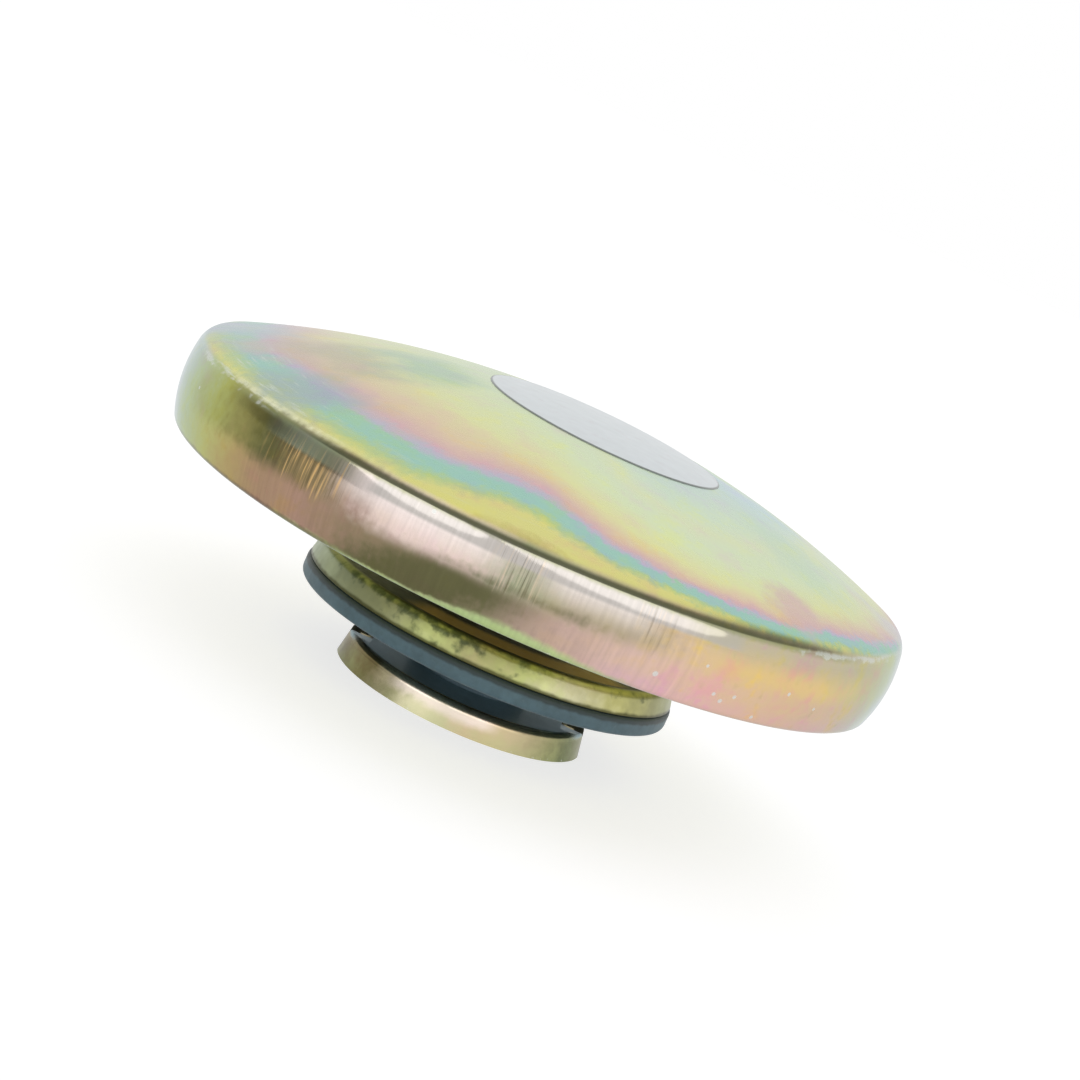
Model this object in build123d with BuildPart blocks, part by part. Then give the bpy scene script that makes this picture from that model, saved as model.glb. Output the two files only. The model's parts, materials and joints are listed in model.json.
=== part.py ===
from build123d import *
import os

os.makedirs("parts", exist_ok=True)

# Filler cap of a transfer tank, turned onto the filler neck by two lugs.
# Origin: centre of the rim that the cap stands on. +Z is the cap's axis, towards the dome.

# Clearances
seat_gap = 0.05             # between pressed pieces that nest in each other
running_gap = 0.06          # radial, between a shaft and what slides or turns on it
play = 0.3                  # between curved faces that pass each other

# Cover, the domed pressing that the hand turns
sheet = 0.8                 # thickness of the cover, the carrier plate and the gasket pan
cover_radius = 46.0         # widest place of the skirt
dome_height = 19.3          # top of the dome above the underside of the hem
dome_radius = 121.8
skirt_radius = 16.0         # the skirt bulges with this radius in section
belly_height = 5.9          # widest place above the underside of the hem
shoulder_radius = 2.5       # between dome and skirt
hem_radius = 0.95           # outer bend of the hem
hem_width = 3.4             # flat of the hem, turned in under the carrier plate

# Heights of the stack, from the rim of the lug plate to the hem
lug_height = 3.3            # top of the lug plate above its rim
lip_gap = 4.1               # room for the inner lip of the filler neck
gasket_proud = 2.45         # gasket below the edge of its pan
pan_depth = 2.85
skirt_gap = 6.25            # from the top of the pan to the hem

# Carrier plate, crimped into the hem
flange_height = 4.2         # upturned edge inside the skirt
plate_bend = 1.2
well_depth = 4.2            # raised middle that takes the spring
well_radius = 16.6
bead_radius = 32.0          # middle of the stiffening bead
bead_width = 4.6
bead_rise = 1.1
breather_circle = 22.6      # radius of the ring of breather holes
breather_radius = 1.3
breather_count = 4

# Hub, a turned tube that carries the lugs and guides the gasket pan
hub_radius = 6.5
hub_wall = 1.3
collar_step = 1.1           # collar that stops the pan on its way down
hub_flange_radius = 15.2
hub_flange = 1.2
spigot_radius = 5.9         # end that is staked through the lug plate
spigot_flats = 10.4         # across the two flats that turn the lug plate
rivet_circle = 12.7
rivet_radius = 1.4
rivet_head_radius = 2.3
rivet_head = 0.9
rivet_count = 3

# Lug plate
lug_sheet = 1.2
lug_radius = 16.0           # at the lower edge of the rim
lug_flare = 0.6             # the rim widens this much downwards
lug_bend = 1.1
notch_width = 4.0           # gaps between the two lugs
notch_depth = 3.6
ramp_length = 4.0           # coined lead-in at the ends of each lug
ramp_drop = 0.4
stake_washer_radius = 8.8
stake_washer_thickness = 0.8
stake_lip = 1.0             # hub rolled over the washer
stake_height = 0.7

# Gasket pan and what it carries
pan_radius = 23.65          # at the lower edge
pan_flare = 0.7
pan_bend = 1.1
gasket_overhang = 0.2       # gasket beyond the pan's edge
gasket_round = 0.6
gasket_hole = 15.7          # radius of the sealing face's inner edge
clamp_sheet = 0.7
clamp_radius = 15.4
clamp_depth = 2.5
clamp_neck = 11.6
bush_wall = 1.05
bush_flange_radius = 9.4
bush_flange = 0.9
clinch_radius = 8.7
clinch = 0.8

# Main spring and its washer
spring_radius = 9.2         # middle of the wire
spring_wire = 1.5
spring_turns = 4
washer_radius = 10.8
washer_thickness = 0.8

# Vent valve inside the hub
chamber_depth = 12.0        # from the hub's top to the valve seat
throat_radius = 3.4
throat_length = 1.6
hub_lower_bore = 4.6
seal_thickness = 0.8
seal_hole = 3.05
disc_thickness = 1.0
disc_radius = 4.8
bleed_radius = 0.42
bleed_circle = 1.95
bleed_count = 3
stem_radius = 0.8
stem_length = 5.2           # above the valve disc's underside
stem_head_radius = 2.7
stem_head = 0.8
face_thickness = 0.4        # rubber face on the stem's head
face_radius = 2.6
clip_radius = 2.0
clip_thickness = 0.5
clip_inset = 0.6            # from the stem's end to the clip
groove_depth = 0.25
pressure_spring_radius = 4.2
pressure_spring_wire = 0.5
pressure_spring_turns = 5
vacuum_spring_radius = 1.25
vacuum_spring_wire = 0.3
vacuum_spring_turns = 5
plug_thickness = 1.2
plug_inset = 1.4            # top of the plug below the hub's top
plug_hole_radius = 0.8
plug_hole_circle = 2.9
plug_hole_count = 4
baffle_sheet = 0.5
baffle_height = 2.6
baffle_inset = 2.0          # its lower edge above the hub's lower end
baffle_hole_radius = 0.7
baffle_hole_circle = 2.3
baffle_hole_count = 3

# Round label on the dome
label_radius = 15.0
label_thickness = 0.12
label_offset = (2.7, -1.0)

# Levels worked out from the stack
lug_top = lug_height
seal_face = lug_top + lip_gap
pan_edge = seal_face + gasket_proud
pan_top = pan_edge + pan_depth
hem_level = pan_top + skirt_gap
dome_top = hem_level + dome_height
dome_centre = dome_top - dome_radius
plate_level = hem_level + sheet + seat_gap
well_level = plate_level + well_depth
hub_flange_level = well_level + sheet
hub_top = hub_flange_level + hub_flange
pan_under = pan_top - sheet
gasket_radius = pan_radius + gasket_overhang
bush_bottom = pan_under - clamp_sheet - clinch
bush_top = pan_top + bush_flange
washer_top = bush_top + washer_thickness
bush_bore = hub_radius + running_gap
bush_radius = bush_bore + bush_wall
collar_radius = hub_radius + collar_step
lug_under = lug_top - lug_sheet
washer_under = lug_under - stake_washer_thickness
hub_bottom = washer_under - stake_height
hub_bore = hub_radius - hub_wall
valve_seat = hub_top - chamber_depth
disc_under = valve_seat + seal_thickness
disc_top = disc_under + disc_thickness
stem_top = disc_under + stem_length
clip_top = stem_top - clip_inset
clip_under = clip_top - clip_thickness
plug_top = hub_top - plug_inset
plug_under = plug_top - plug_thickness


def cover_section(inset, base):
    """Half-section of everything that lies `inset` inside the cover's outer face, above `base`."""
    belly = hem_level + belly_height
    bulge = cover_radius - skirt_radius
    with BuildSketch(Plane.XZ) as section:
        with Locations((bulge, belly)):
            Circle(skirt_radius - inset)
        with Locations((bulge / 2, belly)):
            Rectangle(bulge, 2 * (skirt_radius - inset))
        with Locations((0, dome_centre)):
            Circle(dome_radius - inset, mode=Mode.INTERSECT)
        with Locations((0, base)):
            upwards = (Align.CENTER, Align.MIN)
            Rectangle(2 * cover_radius, 2 * dome_height, align=upwards, mode=Mode.INTERSECT)
        corners = section.vertices().sort_by(Axis.X)[-2:]
        fillet(corners.sort_by(Axis.Y)[-1], shoulder_radius - inset)
    return section.sketch


def sheet_section(outline, bend, gauge):
    """Half-section of a pressed sheet: `outline` is its right-hand face, bent at each corner."""
    with BuildSketch(Plane.XZ) as section:
        with BuildLine():
            FilletPolyline(*outline, radius=bend)
            offset(amount=gauge, side=Side.LEFT)
        make_face()
    return section.sketch


def ring_section(inner, outer, bottom, top):
    """Half-section of a plain ring or washer."""
    with BuildSketch(Plane.XZ) as section:
        with Locations((inner, bottom)):
            Rectangle(outer - inner, top - bottom, align=Align.MIN)
    return section.sketch


def round_bar(radius, bottom, top, centre=(0, 0)):
    """An upright round bar or hole, drawn as a sketch between two levels."""
    with BuildSketch(Plane.XY.offset(bottom)) as section:
        with Locations(centre):
            Circle(radius)
    return extrude(section.sketch, amount=top - bottom, mode=Mode.PRIVATE)


def spring_wire_along(radius, wire, bottom, top, turns):
    """A coil spring whose ends are ground flat on the two levels."""
    rise = top - bottom - wire / 2
    with BuildPart() as coil:
        with BuildLine() as run:
            Helix(pitch=rise / turns, height=rise, radius=radius, center=(0, 0, bottom + wire / 4))
        with BuildSketch(Plane(origin=run.line @ 0, z_dir=run.line % 0)):
            Circle(wire / 2)
        sweep(is_frenet=True)
        add(round_bar(radius + wire, bottom, top), mode=Mode.INTERSECT)
    return coil.part


# Outer shell: dome, rounded shoulder, bulging skirt and the hem turned in under the plate
with BuildPart() as outer_shell:
    with BuildSketch(Plane.XZ) as shell_face:
        add(cover_section(0, hem_level))
        hem_corner = shell_face.vertices().sort_by(Axis.X)[-3:].sort_by(Axis.Y)[0]
        fillet(hem_corner, hem_radius)
        add(cover_section(sheet, hem_level + sheet), mode=Mode.SUBTRACT)
        with Locations((0, hem_level)):
            Rectangle(2 * (cover_radius - sheet - hem_width), 2 * sheet, mode=Mode.SUBTRACT)
    revolve(axis=Axis.Z)
outer_shell.part.label = "outer_shell"
export_step(outer_shell.part, "parts/outer_shell.step")

# Label: a thin disc that lies on the dome, a little off its middle
with BuildPart() as label:
    with BuildSketch(Plane.XY.offset(hem_level)) as label_disc:
        with Locations(label_offset):
            Circle(label_radius)
    extrude(amount=2 * dome_height)
    with Locations((0, 0, dome_centre)):
        Sphere(dome_radius + label_thickness, mode=Mode.INTERSECT)
    with Locations((0, 0, dome_centre)):
        Sphere(dome_radius, mode=Mode.SUBTRACT)
label.part.label = "label"
export_step(label.part, "parts/label.step")

# Carrier plate: upturned flange nested in the skirt, stiffening bead, raised well for the spring
with BuildPart() as carrier_plate:
    nest = sheet + seat_gap
    with BuildSketch(Plane.XZ) as plate_face:
        add(cover_section(nest, plate_level))
        plate_corner = plate_face.vertices().sort_by(Axis.X)[-3:].sort_by(Axis.Y)[0]
        fillet(plate_corner, plate_bend)
        add(cover_section(nest + sheet, plate_level + sheet), mode=Mode.SUBTRACT)
        with Locations((0, plate_level + flange_height)):
            Rectangle(2 * cover_radius, dome_height, align=(Align.CENTER, Align.MIN), mode=Mode.SUBTRACT)
    revolve(axis=Axis.Z)
    with BuildSketch(Plane.XZ) as bead_face:
        with Locations((bead_radius, plate_level)):
            Trapezoid(bead_width + 2 * sheet, bead_rise + sheet, 60, align=(Align.CENTER, Align.MIN))
    revolve(axis=Axis.Z)
    with BuildSketch(Plane.XZ) as bead_hollow:
        with Locations((bead_radius, plate_level)):
            Trapezoid(bead_width, bead_rise, 60, align=(Align.CENTER, Align.MIN))
    revolve(axis=Axis.Z, mode=Mode.SUBTRACT)
    with BuildSketch(Plane.XY.offset(plate_level)) as well:
        Circle(well_radius + sheet)
    extrude(amount=well_depth + sheet, taper=6)
    with BuildSketch(Plane.XY.offset(plate_level)) as well_hollow:
        Circle(well_radius)
    extrude(amount=well_depth, taper=6, mode=Mode.SUBTRACT)
    with Locations((0, 0, well_level)):
        Hole(hub_radius + seat_gap)
    with BuildSketch(Plane.XY.offset(plate_level)) as breathers:
        with PolarLocations(breather_circle, breather_count, start_angle=180 / breather_count):
            Circle(breather_radius)
    extrude(amount=sheet, mode=Mode.SUBTRACT)
    with BuildSketch(Plane.XY.offset(well_level)) as plate_rivet_holes:
        with PolarLocations(rivet_circle, rivet_count, start_angle=90):
            Circle(rivet_radius)
    extrude(amount=sheet, mode=Mode.SUBTRACT)
carrier_plate.part.label = "carrier_plate"
export_step(carrier_plate.part, "parts/carrier_plate.step")

# Hub: flange, guide, collar that stops the pan, spigot with two flats, bore with a valve seat
with BuildPart() as hub:
    with BuildSketch(Plane.XZ) as hub_face:
        with BuildLine():
            Polyline(
                (hub_lower_bore, hub_bottom),
                (hub_lower_bore, valve_seat - throat_length),
                (throat_radius, valve_seat - throat_length),
                (throat_radius, valve_seat),
                (hub_bore, valve_seat),
                (hub_bore, hub_top),
                (hub_flange_radius, hub_top),
                (hub_flange_radius, hub_flange_level),
                (hub_radius, hub_flange_level),
                (hub_radius, bush_bottom),
                (collar_radius, bush_bottom),
                (collar_radius, lug_top),
                (spigot_radius, lug_top),
                (spigot_radius, washer_under),
                (spigot_radius + stake_lip, washer_under),
                (spigot_radius + stake_lip / 2, hub_bottom),
                close=True,
            )
        make_face()
    revolve(axis=Axis.Z)
    with BuildSketch(Plane.XY.offset(lug_under)) as spigot_sides:
        Circle(collar_radius)
        Rectangle(2 * collar_radius, spigot_flats, mode=Mode.SUBTRACT)
    extrude(amount=lug_sheet, mode=Mode.SUBTRACT)
    with BuildSketch(Plane.XY.offset(hub_flange_level)) as hub_rivet_holes:
        with PolarLocations(rivet_circle, rivet_count, start_angle=90):
            Circle(rivet_radius + seat_gap)
    extrude(amount=hub_flange, mode=Mode.SUBTRACT)
hub.part.label = "hub"
export_step(hub.part, "parts/hub.step")

# Rivets that hold the hub's flange down on the carrier plate
with BuildPart() as hub_rivets:
    with BuildSketch(Plane.XY.offset(well_level)) as rivet_shanks:
        with PolarLocations(rivet_circle, rivet_count, start_angle=90):
            Circle(rivet_radius)
    extrude(amount=sheet + hub_flange)
    with BuildSketch(Plane.XY.offset(well_level - rivet_head), Plane.XY.offset(hub_top)) as rivet_heads:
        with PolarLocations(rivet_circle, rivet_count, start_angle=90):
            Circle(rivet_head_radius)
    extrude(amount=rivet_head)
    ends = hub_rivets.edges().filter_by(GeomType.CIRCLE).group_by(Axis.Z)
    fillet(ends[0] + ends[-1], rivet_head / 2)
hub_rivets.part.label = "hub_rivets"
export_step(hub_rivets.part, "parts/hub_rivets.step")

# Lug plate: a pressed disc with a turned-down rim, cut into two lugs with coined lead-ins
with BuildPart() as lug_plate:
    rim = [(lug_radius, 0), (lug_radius - lug_flare, lug_top), (0, lug_top)]
    add(revolve(sheet_section(rim, lug_bend, lug_sheet), axis=Axis.Z, mode=Mode.PRIVATE))
    split(bisect_by=Plane.XY, keep=Keep.TOP)
    with BuildSketch() as notches:
        with PolarLocations(lug_radius, 2):
            Rectangle(2 * notch_depth, notch_width)
        fillet(notches.vertices(), notch_depth / 3)
    extrude(amount=2 * lug_top, mode=Mode.SUBTRACT)
    for side in (1, -1):
        with BuildSketch(Plane.YZ.offset(side * (lug_radius - notch_depth))) as ramps:
            with BuildLine():
                Polyline(
                    (0, lug_top + ramp_drop),
                    (0, lug_top - ramp_drop),
                    (notch_width / 2, lug_top - ramp_drop),
                    (notch_width / 2 + ramp_length, lug_top),
                    (notch_width / 2 + ramp_length, lug_top + ramp_drop),
                    close=True,
                )
            make_face()
            mirror(about=Plane.YZ)
        extrude(amount=side * 2 * notch_depth, mode=Mode.SUBTRACT)
    with BuildSketch(Plane.XY.offset(lug_under)) as spigot_hole:
        Circle(spigot_radius + seat_gap)
        Rectangle(2 * lug_radius, spigot_flats + 2 * seat_gap, mode=Mode.INTERSECT)
    extrude(amount=lug_sheet, mode=Mode.SUBTRACT)
lug_plate.part.label = "lug_plate"
export_step(lug_plate.part, "parts/lug_plate.step")

# Washer under the staked end of the hub
with BuildPart() as stake_washer:
    ring = ring_section(spigot_radius + seat_gap, stake_washer_radius, washer_under, lug_under)
    add(revolve(ring, axis=Axis.Z, mode=Mode.PRIVATE))
stake_washer.part.label = "stake_washer"
export_step(stake_washer.part, "parts/stake_washer.step")

# Gasket pan: a shallow upturned cup that floats on the hub
with BuildPart() as gasket_pan:
    wall = [(pan_radius, pan_edge), (pan_radius - pan_flare, pan_top), (bush_radius + seat_gap, pan_top)]
    add(revolve(sheet_section(wall, pan_bend, sheet), axis=Axis.Z, mode=Mode.PRIVATE))
    split(bisect_by=Plane.XY.offset(pan_edge), keep=Keep.TOP)
gasket_pan.part.label = "gasket_pan"
export_step(gasket_pan.part, "parts/gasket_pan.step")

# Gasket: sealing ring below the pan's edge, body inside the pan, thin lip for the clamp ring
with BuildPart() as gasket:
    gasket_body = pan_radius - sheet - play
    gasket_lip = clamp_neck + clamp_sheet + 2 * play
    lip_level = pan_under - clamp_depth
    with BuildSketch(Plane.XZ) as gasket_face:
        with BuildLine():
            Polyline(
                (gasket_hole, seal_face),
                (gasket_radius, seal_face),
                (gasket_radius, pan_edge),
                (gasket_body, pan_edge),
                (gasket_body - pan_flare, pan_under),
                (gasket_lip, pan_under),
                (gasket_lip, lip_level),
                (gasket_hole, lip_level),
                close=True,
            )
        make_face()
        outer_corners = gasket_face.vertices().sort_by(Axis.X)[-2:]
        fillet(outer_corners, gasket_round)
    revolve(axis=Axis.Z)
gasket.part.label = "gasket"
export_step(gasket.part, "parts/gasket.step")

# Clamp ring: a pressed hat section that holds the gasket's lip up in the pan
with BuildPart() as clamp_ring:
    clamp_under = pan_under - clamp_sheet
    hat = [
        (bush_radius + seat_gap, clamp_under),
        (clamp_neck, clamp_under),
        (clamp_neck, clamp_under - clamp_depth),
        (clamp_radius, clamp_under - clamp_depth),
    ]
    add(revolve(sheet_section(hat, clamp_sheet + play, clamp_sheet), axis=Axis.Z, mode=Mode.PRIVATE))
clamp_ring.part.label = "clamp_ring"
export_step(clamp_ring.part, "parts/clamp_ring.step")

# Guide bush: clinched through the pan and the clamp ring, slides and turns on the hub
with BuildPart() as guide_bush:
    with BuildSketch(Plane.XZ) as bush_face:
        with BuildLine():
            Polyline(
                (bush_bore, bush_bottom),
                (clinch_radius, bush_bottom),
                (clinch_radius, clamp_under),
                (bush_radius, clamp_under),
                (bush_radius, pan_top),
                (bush_flange_radius, pan_top),
                (bush_flange_radius, bush_top),
                (bush_bore, bush_top),
                close=True,
            )
        make_face()
    revolve(axis=Axis.Z)
guide_bush.part.label = "guide_bush"
export_step(guide_bush.part, "parts/guide_bush.step")

# Washer between the guide bush and the main spring
with BuildPart() as spring_washer:
    ring = ring_section(bush_bore, washer_radius, bush_top, washer_top)
    add(revolve(ring, axis=Axis.Z, mode=Mode.PRIVATE))
spring_washer.part.label = "spring_washer"
export_step(spring_washer.part, "parts/spring_washer.step")

# Main spring, between the well of the carrier plate and its washer
with BuildPart() as main_spring:
    coil = (spring_radius, spring_wire, washer_top, well_level, spring_turns)
    add(spring_wire_along(*coil))
main_spring.part.label = "main_spring"
export_step(main_spring.part, "parts/main_spring.step")

# Pressure disc: lifts off the valve seat when the tank breathes out
with BuildPart() as pressure_disc:
    ring = ring_section(stem_radius + running_gap, disc_radius, disc_under, disc_top)
    add(revolve(ring, axis=Axis.Z, mode=Mode.PRIVATE))
    with BuildSketch(Plane.XY.offset(disc_under)) as bleed_holes:
        with PolarLocations(bleed_circle, bleed_count):
            Circle(bleed_radius)
    extrude(amount=disc_thickness, mode=Mode.SUBTRACT)
pressure_disc.part.label = "pressure_disc"
export_step(pressure_disc.part, "parts/pressure_disc.step")

# Seal bonded under the pressure disc
with BuildPart() as pressure_seal:
    ring = ring_section(seal_hole, disc_radius, valve_seat, disc_under)
    add(revolve(ring, axis=Axis.Z, mode=Mode.PRIVATE))
pressure_seal.part.label = "pressure_seal"
export_step(pressure_seal.part, "parts/pressure_seal.step")

# Pressure spring, between the pressure disc and the plug
with BuildPart() as pressure_spring:
    coil = (pressure_spring_radius, pressure_spring_wire, disc_top, plug_under, pressure_spring_turns)
    add(spring_wire_along(*coil))
pressure_spring.part.label = "pressure_spring"
export_step(pressure_spring.part, "parts/pressure_spring.step")

# Perforated plug pressed into the top of the hub
with BuildPart() as vent_plug:
    add(round_bar(hub_bore - seat_gap, plug_under, plug_top))
    with BuildSketch(Plane.XY.offset(plug_under)) as plug_holes:
        with PolarLocations(plug_hole_circle, plug_hole_count):
            Circle(plug_hole_radius)
    extrude(amount=plug_thickness, mode=Mode.SUBTRACT)
vent_plug.part.label = "vent_plug"
export_step(vent_plug.part, "parts/vent_plug.step")

# Vacuum valve: a headed stem that drops when the tank draws air in
with BuildPart() as vacuum_valve:
    head_top = disc_under - face_thickness
    add(round_bar(stem_head_radius, head_top - stem_head, head_top))
    add(round_bar(stem_radius, head_top, stem_top))
    with BuildSketch(Plane.XY.offset(clip_under)) as clip_groove:
        Circle(2 * stem_radius)
        Circle(stem_radius - groove_depth, mode=Mode.SUBTRACT)
    extrude(amount=clip_thickness, mode=Mode.SUBTRACT)
    tip = vacuum_valve.edges().filter_by(GeomType.CIRCLE).sort_by(Axis.Z)[-1]
    chamfer(tip, groove_depth)
vacuum_valve.part.label = "vacuum_valve"
export_step(vacuum_valve.part, "parts/vacuum_valve.step")

# Rubber face on the head of the vacuum valve
with BuildPart() as vacuum_face:
    ring = ring_section(stem_radius, face_radius, head_top, disc_under)
    add(revolve(ring, axis=Axis.Z, mode=Mode.PRIVATE))
vacuum_face.part.label = "vacuum_face"
export_step(vacuum_face.part, "parts/vacuum_face.step")

# Vacuum spring, between the pressure disc and the stem's clip
with BuildPart() as vacuum_spring:
    coil = (vacuum_spring_radius, vacuum_spring_wire, disc_top, clip_under, vacuum_spring_turns)
    add(spring_wire_along(*coil))
vacuum_spring.part.label = "vacuum_spring"
export_step(vacuum_spring.part, "parts/vacuum_spring.step")

# Clip in the groove near the stem's end
with BuildPart() as stem_clip:
    ring = ring_section(stem_radius - groove_depth, clip_radius, clip_under, clip_top)
    add(revolve(ring, axis=Axis.Z, mode=Mode.PRIVATE))
stem_clip.part.label = "stem_clip"
export_step(stem_clip.part, "parts/stem_clip.step")

# Splash baffle: a perforated cup pressed into the lower end of the hub
with BuildPart() as splash_baffle:
    baffle_radius = hub_lower_bore - seat_gap
    baffle_under = hub_bottom + baffle_inset
    cup = [(baffle_radius, baffle_under), (baffle_radius, baffle_under + baffle_height)]
    cup.append((0, baffle_under + baffle_height))
    add(revolve(sheet_section(cup, 2 * baffle_sheet, baffle_sheet), axis=Axis.Z, mode=Mode.PRIVATE))
    with BuildSketch(Plane.XY.offset(baffle_under)) as baffle_holes:
        with PolarLocations(baffle_hole_circle, baffle_hole_count):
            Circle(baffle_hole_radius)
    extrude(amount=baffle_height, mode=Mode.SUBTRACT)
splash_baffle.part.label = "splash_baffle"
export_step(splash_baffle.part, "parts/splash_baffle.step")
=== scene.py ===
import json
import math

import bmesh
import bpy
import numpy as np
from mathutils import Matrix, Vector


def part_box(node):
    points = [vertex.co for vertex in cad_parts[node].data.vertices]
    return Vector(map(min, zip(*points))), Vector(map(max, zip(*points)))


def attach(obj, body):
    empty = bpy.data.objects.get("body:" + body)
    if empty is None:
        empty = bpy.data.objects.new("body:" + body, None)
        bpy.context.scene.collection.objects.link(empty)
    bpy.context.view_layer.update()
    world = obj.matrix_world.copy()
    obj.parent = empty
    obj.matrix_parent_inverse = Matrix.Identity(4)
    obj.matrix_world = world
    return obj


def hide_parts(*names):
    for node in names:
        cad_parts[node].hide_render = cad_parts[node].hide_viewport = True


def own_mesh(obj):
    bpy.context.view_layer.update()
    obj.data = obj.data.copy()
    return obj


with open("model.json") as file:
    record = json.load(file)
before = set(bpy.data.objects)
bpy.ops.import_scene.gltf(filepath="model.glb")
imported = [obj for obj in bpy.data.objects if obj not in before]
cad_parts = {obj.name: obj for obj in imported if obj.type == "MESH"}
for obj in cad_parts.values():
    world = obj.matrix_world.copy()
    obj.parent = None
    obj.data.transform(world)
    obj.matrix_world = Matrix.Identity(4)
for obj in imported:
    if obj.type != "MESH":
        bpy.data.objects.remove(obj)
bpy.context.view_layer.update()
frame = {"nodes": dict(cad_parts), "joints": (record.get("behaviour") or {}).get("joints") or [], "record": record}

MM = 0.001

# Places taken from the frame
SHELL_LOW, SHELL_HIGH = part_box("outer_shell")
LABEL_LOW, LABEL_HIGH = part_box("label")
PAN_LOW, PAN_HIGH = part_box("gasket_pan")
GASKET_LOW, GASKET_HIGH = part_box("gasket")
COVER_RADIUS = SHELL_HIGH.x
HEM = SHELL_LOW.z
TOP = SHELL_HIGH.z

# Section of the cover, as in the construction
SHEET = 0.8 * MM
DOME_RADIUS = 121.8 * MM
SKIRT_RADIUS = 16.0 * MM
BELLY = HEM + 5.9 * MM
SHOULDER_RADIUS = 2.5 * MM
HEM_RADIUS = 0.95 * MM
HEM_WIDTH = 3.4 * MM
PRESSING_WAVE = 0.02 * MM           # half of the most that the wall is drawn in
OUTER_STEPS = (76, 20, 38)          # points along the dome, the shoulder and the skirt, outside
INNER_STEPS = (20, 6, 12)           # and inside
DOME_CENTRE = np.array([0.0, TOP - DOME_RADIUS])
SKIRT_CENTRE = np.array([COVER_RADIUS - SKIRT_RADIUS, BELLY])

# Gasket pan and gasket
PAN_FLARE = 0.7 * MM
PAN_BEND = 1.1 * MM
PAN_BORE = 7.66 * MM
PAN_PLAY = 0.3 * MM                 # between the pan's wall and the gasket
FOOT_ROUND = 0.15 * MM              # edge of the pan's foot
FINE_ROUND = 0.1 * MM               # edge of its bore, and of the gasket's inner corners
GASKET_HOLE = 15.7 * MM
GASKET_NECK = 12.9 * MM
GASKET_LIP = 2.5 * MM               # height of the lip at its neck
GASKET_ROUND = 0.6 * MM             # edges of the ring seen below the pan
RUBBER_ROUND = 0.3 * MM             # edges inside
RUBBER_WALL = 0.8 * MM              # how deep the outer wall is drawn in with its edges
RUBBER_WAVE = 0.03 * MM             # half of the most that it is drawn in

# Label on the dome
LABEL_CENTRE = (LABEL_LOW + LABEL_HIGH) / 2
LABEL_RADIUS = (LABEL_HIGH.x - LABEL_LOW.x) / 2
LABEL_FILM = 0.12 * MM
LABEL_ROUND = 0.15 * MM             # width of its rounded rim
LABEL_RINGS = 40                    # rings of points on its flat

# Coil springs: middle of the wire from the axis, wire, turns
SPRINGS = {
    "main_spring": (9.2 * MM, 1.5 * MM, 4),
    "pressure_spring": (4.2 * MM, 0.5 * MM, 5),
    "vacuum_spring": (1.25 * MM, 0.3 * MM, 5),
}

# Camera: the photograph's view of the cap, in the photograph's own pixels
PHOTO = 1080
CAMERA_ROLL = math.radians(24.4)
CAMERA_RISE = math.radians(9.95)
CAMERA_AWAY = 7.5                   # in hem radii
HEM_RADIUS_PIXELS = 373.8
HEM_RADIUS_SEEN = 44.89 * MM
HEM_CENTRE_PIXELS = (-17.7, 19.5)   # right of and below the picture's centre
SENSOR = 36.0

STEPS = 384                         # round a turned piece
COIL_STEPS = 72                     # in one turn of a spring
WIRE_STEPS = 16                     # round a spring's wire

# Places of a colour Mix node's sockets: amount, colour under, colour over, and the result
MIX_INPUTS = (0, 6, 7)
MIX_RESULT = 2

# Tints that the clear film on zinc runs through as it gets thicker
PALE_GREEN = (0.67, 0.75, 0.50)
STRAW = (0.73, 0.73, 0.36)
PEACH = (0.72, 0.56, 0.38)
ROSE = (0.66, 0.45, 0.43)
VIOLET = (0.50, 0.47, 0.56)
TEAL = (0.34, 0.57, 0.48)
LEAF = (0.46, 0.58, 0.27)
GOLD = (0.68, 0.65, 0.24)
AMBER = (0.74, 0.54, 0.25)
BRONZE = (0.42, 0.32, 0.13)
MOSS = (0.36, 0.38, 0.11)
RUSSET = (0.36, 0.24, 0.14)
OLIVE = (0.105, 0.105, 0.045)
SAGE = (0.43, 0.51, 0.28)
SEA_GREY = (0.45, 0.54, 0.52)
SKY = (0.50, 0.67, 0.69)
BARE_ZINC = (0.72, 0.74, 0.71)


def add_object(name, data):
    """New object in the scene, at the origin."""
    thing = bpy.data.objects.new(name, data)
    bpy.context.scene.collection.objects.link(thing)
    return thing


def make_camera():
    """Camera at the photograph's angle: the hem's centre, its size in pixels and the roll fix it."""
    focal = HEM_RADIUS_PIXELS * CAMERA_AWAY
    right = Vector((math.cos(CAMERA_ROLL), -math.sin(CAMERA_ROLL), 0))
    up = Vector((
        math.cos(CAMERA_RISE) * math.sin(CAMERA_ROLL),
        math.cos(CAMERA_RISE) * math.cos(CAMERA_ROLL),
        math.sin(CAMERA_RISE),
    ))
    turn = Matrix((right, up.cross(right), up))
    seen = Vector((HEM_CENTRE_PIXELS[0] / focal, -HEM_CENTRE_PIXELS[1] / focal, -1))
    data = bpy.data.cameras.new("camera")
    data.sensor_width = SENSOR
    data.lens = focal * SENSOR / PHOTO
    data.clip_start = 0.01
    data.clip_end = 10
    camera = add_object("camera", data)
    place = Vector((0, 0, HEM)) - turn @ (seen * CAMERA_AWAY * HEM_RADIUS_SEEN)
    camera.matrix_world = Matrix.Translation(place) @ turn.to_4x4()
    bpy.context.scene.camera = camera


# Shapes


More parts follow.
